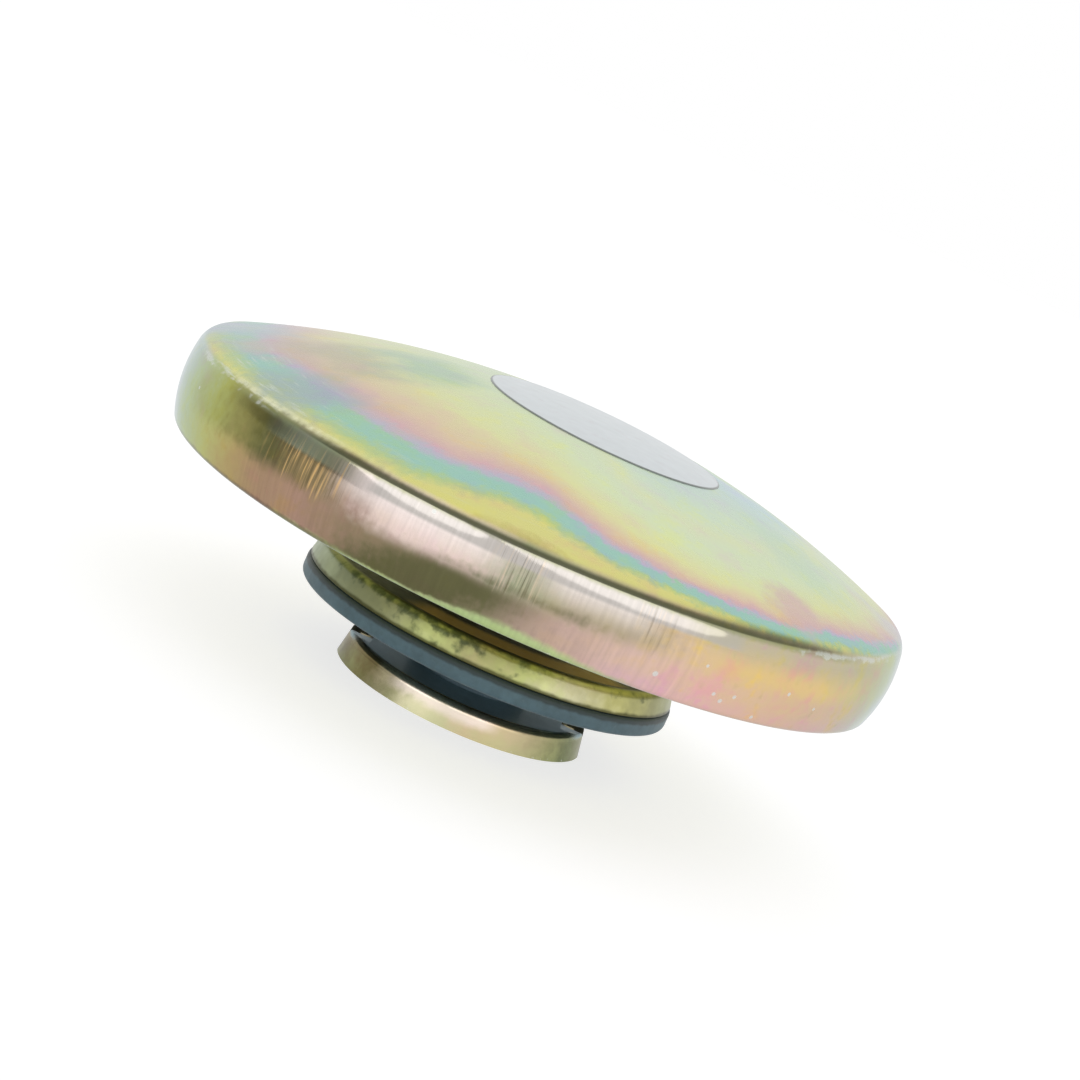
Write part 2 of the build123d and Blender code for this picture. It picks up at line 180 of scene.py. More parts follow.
def meet(centre_a, radius_a, centre_b, radius_b):
    """Where two circles cross, the point further from the axis: along the line of centres, then square
    to it."""
    across = centre_b - centre_a
    apart = np.hypot(*across)
    along = (apart ** 2 + radius_a ** 2 - radius_b ** 2) / (2 * apart)
    aside = np.sqrt(radius_a ** 2 - along ** 2)
    unit = across / apart
    square = np.array([-unit[1], unit[0]])
    points = [centre_a + along * unit + s * aside * square for s in (1, -1)]
    return max(points, key=lambda p: p[0])


def arc(centre, radius, start, stop, steps):
    """Points of an arc: the centre plus the radius times (cos, sin) of angles spread evenly."""
    angles = np.linspace(start, stop, steps)
    return centre + radius * np.stack([np.cos(angles), np.sin(angles)], 1)


def heading(centre, point):
    """Angle of the line from a centre to a point."""
    return math.atan2(point[1] - centre[1], point[0] - centre[0])


def rounded(corners, steps):
    """Closed outline from (radius, height, bend) corners: each corner becomes the arc that touches both
    its sides, whose centre lies on the corner's bisector at bend / sin(half the angle between them)."""
    corners = np.array(corners, float)
    spots = corners[:, :2]
    outline = []
    for i, (spot, bend) in enumerate(zip(spots, corners[:, 2])):
        back = spots[i - 1] - spot
        ahead = spots[(i + 1) % len(spots)] - spot
        back, ahead = back / np.hypot(*back), ahead / np.hypot(*ahead)
        half = math.acos(np.clip(back @ ahead, -1, 1)) / 2
        middle = (back + ahead) / np.hypot(*(back + ahead))
        centre = spot + middle * bend / math.sin(half)
        first = heading(centre, spot + back * bend / math.tan(half))
        last = heading(centre, spot + ahead * bend / math.tan(half))
        sweep = (last - first + math.pi) % (2 * math.pi) - math.pi
        outline.append(arc(centre, bend, first, first + sweep, steps))
    return np.concatenate(outline)


def make_mesh(name, points, faces):
    """Mesh object at the origin: doubles merged, normals outwards, smooth but for edges over 40 degrees."""
    mesh = bpy.data.meshes.new(name)
    mesh.from_pydata(points.tolist(), [], faces)
    work = bmesh.new()
    work.from_mesh(mesh)
    bmesh.ops.remove_doubles(work, verts=work.verts, dist=1e-7)
    bmesh.ops.recalc_face_normals(work, faces=work.faces)
    work.to_mesh(mesh)
    work.free()
    mesh.shade_smooth()
    mesh.set_sharp_from_angle(angle=math.radians(40))
    return add_object(name, mesh)


def quads(rows, columns, closed=False):
    """Four-sided faces of a grid of points. Its columns go round, and where `closed` its rows do too."""
    i, j = np.meshgrid(np.arange(rows if closed else rows - 1), np.arange(columns), indexing="ij")
    row, next_row = i * columns, (i + 1) % rows * columns
    next_j = (j + 1) % columns
    faces = np.stack([row + j, row + next_j, next_row + next_j, next_row + j], -1)
    return faces.reshape(-1, 4).tolist()


def turned(name, outline, shape=None):
    """Closed outline (radius, height) carried round the axis: x = r cos(a), y = r sin(a), z = height.
    `shape` may move the grid of radii and heights by place on the outline and angle."""
    angles = np.linspace(0, 2 * np.pi, STEPS, endpoint=False)
    radius = np.repeat(outline[:, :1], STEPS, 1)
    height = np.repeat(outline[:, 1:], STEPS, 1)
    if shape:
        radius, height = shape(radius, height, angles[None, :])
    grid = np.stack([radius * np.cos(angles), radius * np.sin(angles), height], -1)
    return make_mesh(name, grid.reshape(-1, 3), quads(len(outline), STEPS, closed=True))


def cover_curve(inset, steps):
    """The cover's outer face moved `inset` inwards, from the axis down to the foot of the skirt:
    dome arc, shoulder arc touching both, skirt arc."""
    shoulder = meet(SKIRT_CENTRE, SKIRT_RADIUS - SHOULDER_RADIUS, DOME_CENTRE, DOME_RADIUS - SHOULDER_RADIUS)
    above, below = heading(DOME_CENTRE, shoulder), heading(SKIRT_CENTRE, shoulder)
    foot = math.asin((HEM + HEM_RADIUS - BELLY) / (SKIRT_RADIUS - HEM_RADIUS))
    dome = arc(DOME_CENTRE, DOME_RADIUS - inset, math.pi / 2, above, steps[0])
    corner = arc(shoulder, SHOULDER_RADIUS - inset, above, below, steps[1])
    skirt = arc(SKIRT_CENTRE, SKIRT_RADIUS - inset, below, foot, steps[2])
    return np.concatenate([dome, corner[1:], skirt[1:]])


def cover_outline():
    """Closed section of the cover: outer face, hem bend, turned-in hem with a round edge, inner face."""
    outer = cover_curve(0, OUTER_STEPS)
    inner = cover_curve(SHEET, INNER_STEPS)
    foot = math.asin((HEM + HEM_RADIUS - BELLY) / (SKIRT_RADIUS - HEM_RADIUS))
    bend = SKIRT_CENTRE + (SKIRT_RADIUS - HEM_RADIUS) * np.array([math.cos(foot), math.sin(foot)])
    bend_out = arc(bend, HEM_RADIUS, foot, -math.pi / 2, 12)
    bend_in = arc(bend, HEM_RADIUS - SHEET, -math.pi / 2, foot, 5)
    edge = np.array([COVER_RADIUS - SHEET - HEM_WIDTH + SHEET / 2, HEM + SHEET / 2])
    tip = arc(edge, SHEET / 2, -math.pi / 2, -3 * math.pi / 2, 8)
    return np.concatenate([outer, bend_out[1:], tip, bend_in, inner[::-1][1:]])


def pressing_waves(radius, height, angles):
    """Slight unevenness of the pressing: the wall is drawn in by up to 40 micrometres, in low waves
    round the cover, the sum of cosines of 3, 5 and 11 turns, most at the shoulder."""
    wave = 0.5 * np.cos(3 * angles + 0.6) + 0.3 * np.cos(5 * angles + 2.1) + 0.2 * np.cos(11 * angles)
    near = np.clip((radius - 0.6 * COVER_RADIUS) / (0.4 * COVER_RADIUS), 0, 1) ** 2
    return radius - PRESSING_WAVE * near * (1 + wave), height


def pan_outline():
    """Closed section of the gasket pan: wall and top as one sheet, bent once, with its cut edge rounded."""
    low, high, edge = PAN_LOW.z, PAN_HIGH.z, PAN_HIGH.x
    lean = PAN_FLARE / (high - low)
    return rounded([
        (edge, low, FOOT_ROUND),
        (edge - PAN_FLARE, high, PAN_BEND),
        (PAN_BORE, high, FINE_ROUND),
        (PAN_BORE, high - SHEET, FINE_ROUND),
        (edge - PAN_FLARE - SHEET + lean * SHEET, high - SHEET, PAN_BEND - SHEET),
        (edge - SHEET, low, FOOT_ROUND),
    ], 8)


def gasket_outline():
    """Closed section of the gasket: ring below the pan's edge, body inside the pan, lip at its neck."""
    low, high, edge = GASKET_LOW.z, GASKET_HIGH.z, GASKET_HIGH.x
    body = PAN_HIGH.x - SHEET - PAN_PLAY
    return rounded([
        (GASKET_HOLE, low, RUBBER_ROUND),
        (edge, low, GASKET_ROUND),
        (edge, PAN_LOW.z, GASKET_ROUND),
        (body, PAN_LOW.z, FINE_ROUND),
        (body - PAN_FLARE, high, RUBBER_ROUND),
        (GASKET_NECK, high, RUBBER_ROUND),
        (GASKET_NECK, high - GASKET_LIP, RUBBER_ROUND),
        (GASKET_HOLE, high - GASKET_LIP, FINE_ROUND),
    ], 7)


def squeezed_rubber(radius, height, angles):
    """The gasket's outer wall is drawn in by up to 60 micrometres: least at mid height, and in low waves."""
    middle = (PAN_LOW.z + GASKET_LOW.z) / 2
    off = (height - middle) / (PAN_LOW.z - middle)
    wave = 0.5 + 0.3 * np.cos(2 * angles + 1.0) + 0.2 * np.cos(7 * angles)
    outer = radius > GASKET_HIGH.x - RUBBER_WALL
    return radius - outer * RUBBER_WAVE * (off ** 2 + wave), height


def label_sheet():
    """The label: rings of radius s round its own centre, laid on the dome's sphere, so that
    z = sphere's height at (x, y) plus the film's thickness, which falls to nothing at the rim."""
    flat = LABEL_RADIUS - LABEL_ROUND
    rim = np.linspace(0, 1, 6)[1:]
    under = np.linspace(LABEL_RADIUS, 0, 12)[1:]
    rings = np.concatenate([np.linspace(0, flat, LABEL_RINGS), flat + LABEL_ROUND * rim, under])[:, None]
    lift = np.concatenate([np.full(LABEL_RINGS, 1.0), np.sqrt(1 - rim ** 2), 0 * under])[:, None] * LABEL_FILM
    angles = np.linspace(0, 2 * np.pi, STEPS, endpoint=False)
    x = LABEL_CENTRE.x + rings * np.cos(angles)
    y = LABEL_CENTRE.y + rings * np.sin(angles)
    z = DOME_CENTRE[1] + np.sqrt((DOME_RADIUS + lift) ** 2 - x ** 2 - y ** 2)
    return make_mesh("label_sheet", np.stack([x, y, z], -1).reshape(-1, 3), quads(len(rings), STEPS))


def spring_coil(name, reach, wire, turns, low, high):
    """Coil spring between two levels. Its middle line climbs evenly, (reach cos a, reach sin a, rise a).
    Round it goes a circle of the wire's radius, square to the line, and heights past the two levels are
    ground off flat. A point in the middle closes each end."""
    steps, around = COIL_STEPS * turns, WIRE_STEPS
    along = np.linspace(0, 1, steps + 1)
    angle = 2 * np.pi * turns * along[:, None]
    rise = high - low - wire / 2
    climb = math.atan2(rise, 2 * np.pi * turns * reach)
    out = np.concatenate([np.cos(angle), np.sin(angle), 0 * angle], 1)
    up = np.concatenate([
        math.sin(climb) * np.sin(angle),
        -math.sin(climb) * np.cos(angle),
        0 * angle + math.cos(climb),
    ], 1)
    line = out * reach
    line[:, 2] = low + wire / 4 + rise * along
    circle = np.linspace(0, 2 * np.pi, around, endpoint=False)[None, :, None]
    grid = line[:, None] + wire / 2 * (np.cos(circle) * out[:, None] + np.sin(circle) * up[:, None])
    grid[..., 2] = np.clip(grid[..., 2], low, high)
    points = np.concatenate([grid.reshape(-1, 3), line[:1], line[-1:]])
    ring = np.arange(around)
    last = steps * around
    start = np.stack([ring, np.roll(ring, -1), 0 * ring + len(points) - 2], 1)
    stop = np.stack([last + np.roll(ring, -1), last + ring, 0 * ring + len(points) - 1], 1)
    return make_mesh(name, points, quads(steps + 1, around) + start.tolist() + stop.tolist())


# Finishes


def feed(tree, socket, value):
    """Join a field or a node output to a socket, or set a plain number or colour on it."""
    if isinstance(value, Field):
        value = value.socket
    if isinstance(value, bpy.types.NodeSocket):
        tree.links.new(value, socket)
    elif socket.type == "RGBA":
        socket.default_value = (*value, 1)
    else:
        socket.default_value = value


class Field:
    """A number worked out at each point of a surface. It is a node output that adds and multiplies."""

    def __init__(self, tree, socket):
        self.tree = tree
        self.socket = socket

    def calc(self, operation, *others):
        """A new field from this one and others, by a Math node."""
        node = self.tree.nodes.new("ShaderNodeMath")
        node.operation = operation
        for socket, value in zip(node.inputs, (self, *others)):
            feed(self.tree, socket, value)
        return Field(self.tree, node.outputs[0])

    def __add__(self, other):
        return self.calc("ADD", other)

    def __sub__(self, other):
        return self.calc("SUBTRACT", other)

    def __mul__(self, other):
        return self.calc("MULTIPLY", other)

    def __truediv__(self, other):
        return self.calc("DIVIDE", other)

    def __rsub__(self, other):
        return self * -1.0 + other

    def most(self, other):
        return self.calc("MAXIMUM", other)

    def spread(self, low, high, to_low=0.0, to_high=1.0, kind="SMOOTHSTEP"):
        """`to_low` up to `low`, `to_high` from `high` on, and smooth between them."""
        node = self.tree.nodes.new("ShaderNodeMapRange")
        node.interpolation_type = kind
        for name, value in zip(("Value", "From Min", "From Max", "To Min", "To Max"),
                               (self, low, high, to_low, to_high)):
            feed(self.tree, node.inputs[name], value)
        return Field(self.tree, node.outputs["Result"])

    def hump(self, middle, width):
        """1 at `middle`, falling smoothly to 0 at `width` to either side."""
        return (self - middle).calc("ABSOLUTE").spread(width, 0.0)

    def between(self, low, high, soft):
        """1 from `low` to `high`, with edges `soft` wide."""
        return self.spread(low - soft, low) * self.spread(high + soft, high)

    def tinted(self, stops):
        """Colour by value: `stops` are (value, tint) pairs in rising order."""
        first, last = stops[0][0], stops[-1][0]
        node = self.tree.nodes.new("ShaderNodeValToRGB")
        feed(self.tree, node.inputs["Fac"], self.spread(first, last, kind="LINEAR"))
        for place, _ in stops[1:-1]:
            node.color_ramp.elements.new((place - first) / (last - first))
        for element, (_, tint) in zip(node.color_ramp.elements, stops):
            element.color = (*tint, 1)
        return node.outputs["Color"]


def mix_colours(tree, amount, under, over, kind="MIX"):
    """Colour `over` laid on colour `under` by `amount`."""
    node = tree.nodes.new("ShaderNodeMix")
    node.data_type = "RGBA"
    node.blend_type = kind
    for index, value in zip(MIX_INPUTS, (amount, under, over)):
        feed(tree, node.inputs[index], value)
    return node.outputs[MIX_RESULT]


def polar(tree, source):
    """A place in millimetres and its fields: x, y, z, distance from the axis, and degrees turned from the
    front, counted to the right."""
    scale = tree.nodes.new("ShaderNodeVectorMath")
    scale.operation = "SCALE"
    scale.inputs["Scale"].default_value = 1 / MM
    tree.links.new(source, scale.inputs[0])
    split = tree.nodes.new("ShaderNodeSeparateXYZ")
    tree.links.new(scale.outputs[0], split.inputs[0])
    x, y, z = (Field(tree, socket) for socket in split.outputs)
    radius = (x * x + y * y).calc("SQRT")
    turn = x.calc("ARCTAN2", y * -1.0) * math.degrees(1)
    return scale.outputs[0], x, y, z, radius, turn


class Finish:
    """A surface finish being put together as one node material."""

    def __init__(self, name, metallic=1.0):
        self.material = bpy.data.materials.new(name)
        self.material.use_nodes = True
        self.tree = self.material.node_tree
        self.shader = self.tree.nodes["Principled BSDF"]
        self.shader.inputs["Metallic"].default_value = metallic
        source = self.tree.nodes.new("ShaderNodeTexCoord").outputs["Object"]
        self.place, self.x, self.y, self.z, self.radius, self.turn = polar(self.tree, source)

    def grain(self, scale, detail=2.0, shift=0.0, tilt=0.0):
        """Soft random field from about -1 to 1; `scale` is in lumps per millimetre. `tilt` turns it off
        the level, so that its lumps don't line up with the rim."""
        mapping = self.tree.nodes.new("ShaderNodeMapping")
        mapping.inputs["Location"].default_value = (shift, shift, shift)
        mapping.inputs["Rotation"].default_value = (tilt, tilt, tilt)
        self.tree.links.new(self.place, mapping.inputs["Vector"])
        return self.noise(mapping.outputs["Vector"], scale, detail)

    def vector(self, *parts):
        """Three fields or numbers joined to a vector."""
        combine = self.tree.nodes.new("ShaderNodeCombineXYZ")
        for socket, value in zip(combine.inputs, parts):
            feed(self.tree, socket, value)
        return combine.outputs[0]

    def noise(self, vector, scale, detail):
        """Soft random field of a vector, from about -1 to 1."""
        node = self.tree.nodes.new("ShaderNodeTexNoise")
        node.inputs["Scale"].default_value = scale
        node.inputs["Detail"].default_value = detail
        self.tree.links.new(vector, node.inputs["Vector"])
        return (Field(self.tree, node.outputs[0]) - 0.5) * 4.0

    def drawn_lines(self, scale, along=0.03):
        """Random field in lines that run parallel to the axis: it changes round the cap and hardly in
        height. `scale` is in lumps per millimetre of the skirt's round."""
        across = (self.x / self.radius, self.y / self.radius)
        return self.noise(self.vector(*across, self.z * along / SKIRT_ROUND), scale * SKIRT_ROUND, 2.0)

    def along_rim(self, scale, detail):
        """Random field in streaks that run round the cap, eight times as long as they are high."""
        height = self.z + self.radius * -0.7
        return self.noise(self.vector(self.x * 0.125, self.y * 0.125, height), scale * 2, detail)

    def away(self, centre):
        """Distance seen from above from a place on the cap."""
        across, along = self.x - centre[0], self.y - centre[1]
        return (across * across + along * along).calc("SQRT")

    def chip(self, place, size):
        """1 inside a small spot round a point of the surface."""
        node = self.tree.nodes.new("ShaderNodeVectorMath")
        node.operation = "DISTANCE"
        self.tree.links.new(self.place, node.inputs[0])
        node.inputs[1].default_value = place
        return Field(self.tree, node.outputs["Value"]).spread(size, size * 0.5)

    def mix(self, amount, under, over, kind="MIX"):
        """Colour `over` laid on colour `under` by `amount`, in this finish."""
        return mix_colours(self.tree, amount, under, over, kind)

    def shade(self, colour, amount):
        """Colour made lighter or darker by a field."""
        node = self.tree.nodes.new("ShaderNodeVectorMath")
        node.operation = "SCALE"
        feed(self.tree, node.inputs[0], colour)
        feed(self.tree, node.inputs["Scale"], amount)
        return node.outputs[0]

    def finish(self, colour, roughness, relief, depth):
        """Join colour, roughness and relief; `depth` is the relief's height in millimetres."""
        feed(self.tree, self.shader.inputs["Base Color"], colour)
        feed(self.tree, self.shader.inputs["Roughness"], roughness)
        bump = self.tree.nodes.new("ShaderNodeBump")
        bump.inputs["Distance"].default_value = depth * MM
        feed(self.tree, bump.inputs["Height"], relief)
        feed(self.tree, self.shader.inputs["Normal"], bump.outputs["Normal"])
        return self.material


# A metal's tint where it is seen at a glancing angle
EDGE_TINT = (0.84, 0.87, 0.88)

# Distance from the axis, in millimetres, at which the grain of drawn lines has its stated scale
SKIRT_ROUND = 45

# Rings of film tints on the dome, by distance in millimetres from a point beside the axis
DOME_RINGS = (
    (4, (0.58, 0.70, 0.60)), (14, (0.64, 0.75, 0.54)), (20, (0.70, 0.75, 0.47)), (25, PALE_GREEN),
    (30, (0.68, 0.76, 0.47)), (36.5, STRAW), (39.8, PEACH), (41.4, ROSE), (42.4, VIOLET),
    (43.1, TEAL), (44.3, TEAL), (45.2, LEAF), (46.2, GOLD), (48, GOLD), (50, BRONZE),
)
RING_CENTRE = (2.2, 2.5)
RING_MIDDLE = 43.5                  # the distance towards which they draw together

# Clouds on the dome: place seen from above, size, tint and strength
DOME_CLOUDS = (
    ((-44, -2), 14, (0.48, 0.54, 0.56), 0.95), ((-29, -29), 9, (0.38, 0.46, 0.45), 0.85),
    ((-36, -13), 8, ROSE, 0.6), ((-28, -12), 11, (0.54, 0.48, 0.33), 0.85),
    ((-19, -8), 10, (0.42, 0.58, 0.40), 0.85), ((22, 2), 12, SKY, 0.8),
    ((28, -10), 11, (0.54, 0.69, 0.50), 0.6), ((30.5, -26.5), 5.5, ROSE, 0.7),
    ((44, -3), 7, (0.64, 0.60, 0.60), 0.7),
)

# Tints round the skirt, by degrees turned from the front: its upper part, then its lower part
# In the upper tints, the dark stops from -48 to -29 and the pale ones from -19 to -7 are in part painted
# reflection.
SKIRT_UPPER = (
    (-180, ROSE), (-140, LEAF), (-100, SEA_GREY), (-76, SEA_GREY), (-66, SAGE), (-56, MOSS),
    (-48, (0.24, 0.22, 0.07)), (-40, OLIVE), (-34, (0.23, 0.175, 0.085)), (-29, (0.28, 0.21, 0.12)),
    (-24, (0.43, 0.32, 0.25)), (-19, (0.72, 0.57, 0.51)), (-14, (0.80, 0.64, 0.58)),
    (-7, (0.70, 0.57, 0.48)), (0, (0.35, 0.365, 0.235)), (8, (0.47, 0.40, 0.28)),
    (17, (0.46, 0.38, 0.27)), (25, (0.70, 0.51, 0.34)), (34, AMBER), (52, AMBER),
    (64, (0.55, 0.51, 0.26)), (72, (0.48, 0.53, 0.33)), (84, SEA_GREY), (110, SEA_GREY),
    (150, GOLD), (180, ROSE),
)
# In the lower tints, the dark stops from -22 to -2 are in part painted reflection of the shaded floor.
SKIRT_LOWER = (
    (-180, GOLD), (-140, ROSE), (-100, SEA_GREY), (-76, SEA_GREY), (-66, SAGE),
    (-56, (0.45, 0.46, 0.15)), (-48, BRONZE), (-40, RUSSET), (-32, (0.38, 0.24, 0.18)),
    (-22, (0.28, 0.21, 0.13)), (-2, (0.26, 0.22, 0.14)), (8, (0.52, 0.37, 0.31)),
    (18, (0.68, 0.48, 0.41)), (30, (0.74, 0.51, 0.36)), (46, (0.68, 0.49, 0.30)),
    (58, (0.63, 0.46, 0.33)), (66, (0.52, 0.47, 0.32)), (76, SEA_GREY), (92, SEA_GREY),
    (140, VIOLET), (180, GOLD),
)

# Marks on the skirt and the shoulder
HEM_GREEN = (0.46, 0.60, 0.27)
# painted shadow line along the bottom of the hem
HEM_SHADOW = (0.12, 0.08, 0.05)
# painted highlight: pale tint on the skirt's upper front, where it mirrors the lamps and the floor
PAINTED_SHEEN_TINT = (0.96, 0.88, 0.86)
SHOULDER_BAND = (0.515, 0.48, 0.45)
SHOULDER_STRAW = (0.49, 0.46, 0.35)
SHOULDER_SAGE = (0.44, 0.53, 0.38)
# painted dark reflection line on the shoulder
REFLECTION_LINE_DARK = (0.30, 0.32, 0.15)
LINE_GOLD = (0.82, 0.52, 0.22)
LINE_SAND = (0.74, 0.58, 0.42)
LINE_DARK = (0.13, 0.10, 0.05)
SCRAPED_ZINC = (0.64, 0.70, 0.60)
RIM_STRAW = (0.80, 0.80, 0.54)

# Multiplied into a colour: more yellow, more mauve, a little more violet
YELLOWER = (1.10, 1.06, 0.58)
MAUVER = (1.04, 0.82, 1.14)
VIOLETER = (1.0, 0.94, 1.16)

# Marks on the gasket pan and, seen from above, its top
PAN_STAIN = (0.06, 0.085, 0.05)
# painted shade along the pan's lower edge, over the gasket
PAN_EDGE_SHADE = (0.06, 0.06, 0.02)
PAN_TOP_GOLD = (0.62, 0.43, 0.13)
# painted shade on the pan's top under the cover: at the sides and back, then deeper further in
PAN_TOP_SHADE = (0.09, 0.10, 0.06)
PAN_TOP_DEEP_SHADE = (0.03, 0.03, 0.015)
# painted shade along the bend of the pan's top
PAN_BEND_SHADE = (0.03, 0.03, 0.012)

# Marks on the lug plate
LUG_GREEN = (0.40, 0.46, 0.20)
# painted highlight along the front of the lug plate's shoulder
LUG_HIGHLIGHT = (0.90, 0.78, 0.70)
# painted shade on the lug plate's top and the lugs' ends
LUG_TOP_SHADE = (0.30, 0.42, 0.45)
# painted shade on the notches' cut faces
LUG_NOTCH_SHADE = (0.05, 0.06, 0.05)

# Rubber, label and plain metals
SLATE = (0.09, 0.16, 0.205)
SLATE_BLOOM = (0.28, 0.38, 0.41)
# painted shade under the pan's edge
SLATE_SHADE = (0.02, 0.032, 0.03)
SEAL_BLACK = (0.02, 0.02, 0.021)
SEAL_DUST = (0.10, 0.10, 0.10)
FILM_SILVER = (0.68, 0.73, 0.75)
FILM_CLOUD = (0.60, 0.57, 0.60)
# painted shade round the label's rim
FILM_EDGE_SHADE = (0.16, 0.18, 0.16)
BLUE_BLACK = (0.15, 0.21, 0.245)
BRIGHT_STEEL = (0.62, 0.64, 0.62)
SPRING_STEEL = (0.34, 0.33, 0.31)
BRASS = (0.70, 0.52, 0.24)

# Height of the relief, in millimetres
PLATING_RELIEF = 0.004
PAN_RELIEF = 0.006
RUBBER_RELIEF = 0.006
LABEL_RELIEF = 0.003

# Millimetres above the hem between which the skirt's tints give way to the dome's
SHOULDER_FROM, SHOULDER_TO = 9.9, 10.6

# Tints of the inner plate, by a random field that runs from about -1 to 1
INNER_TINTS = ((-1.2, LEAF), (-0.4, GOLD), (0.3, STRAW), (0.9, PEACH), (1.5, ROSE))

# Tints round the gasket pan and round the lug plate, by degrees turned from the front
# The pan's darker stops from -75 to -50 are in part painted reflection.
PAN_TINTS = (
    (-180, GOLD), (-120, SAGE), (-75, (0.24, 0.28, 0.17)), (-50, (0.23, 0.25, 0.14)),
    (-26, (0.31, 0.32, 0.16)), (-12, (0.39, 0.42, 0.17)), (0, (0.35, 0.32, 0.16)),
    (15, (0.38, 0.41, 0.16)), (28, (0.52, 0.50, 0.31)), (47, (0.44, 0.42, 0.17)),
    (63, (0.29, 0.28, 0.13)), (90, (0.30, 0.32, 0.16)), (140, SAGE), (180, GOLD),
)
# The lug plate's pale stops from -30 to -4 are in part a painted highlight.
LUG_TINTS = (
    (-180, GOLD), (-120, BRONZE), (-70, (0.17, 0.14, 0.07)), (-45, (0.20, 0.155, 0.065)),
    (-30, (0.54, 0.48, 0.29)), (-20, (0.80, 0.73, 0.50)), (-4, (0.66, 0.61, 0.38)),
    (14, (0.57, 0.44, 0.27)), (34, (0.54, 0.45, 0.27)), (50, (0.31, 0.30, 0.15)),
    (64, (0.17, 0.19, 0.09)), (120, BRONZE), (180, GOLD),
)


def on_skirt(turn, ledge):
    """Point of the skirt at degrees turned from the front and millimetres above the hem, in millimetres."""
    rise = HEM / MM + ledge
    reach = SKIRT_CENTRE[0] / MM + math.sqrt((SKIRT_RADIUS / MM) ** 2 - (rise - BELLY / MM) ** 2)
    angle = math.radians(turn)
    return (reach * math.sin(angle), -reach * math.cos(angle), rise)


# Chips in the plating of the skirt: degrees from the front, millimetres above the hem, size
SKIRT_CHIPS = (
    (23.0, 2.5, 0.42), (32.6, 2.4, 0.3), (34.2, 1.8, 0.34), (36.0, 2.7, 0.3), (45.0, 4.6, 0.3),
    (41.0, 0.9, 0.3), (-13.0, 9.0, 0.3), (52.0, 3.4, 0.26), (29.5, 5.2, 0.24), (-63.0, 6.5, 0.26),
)


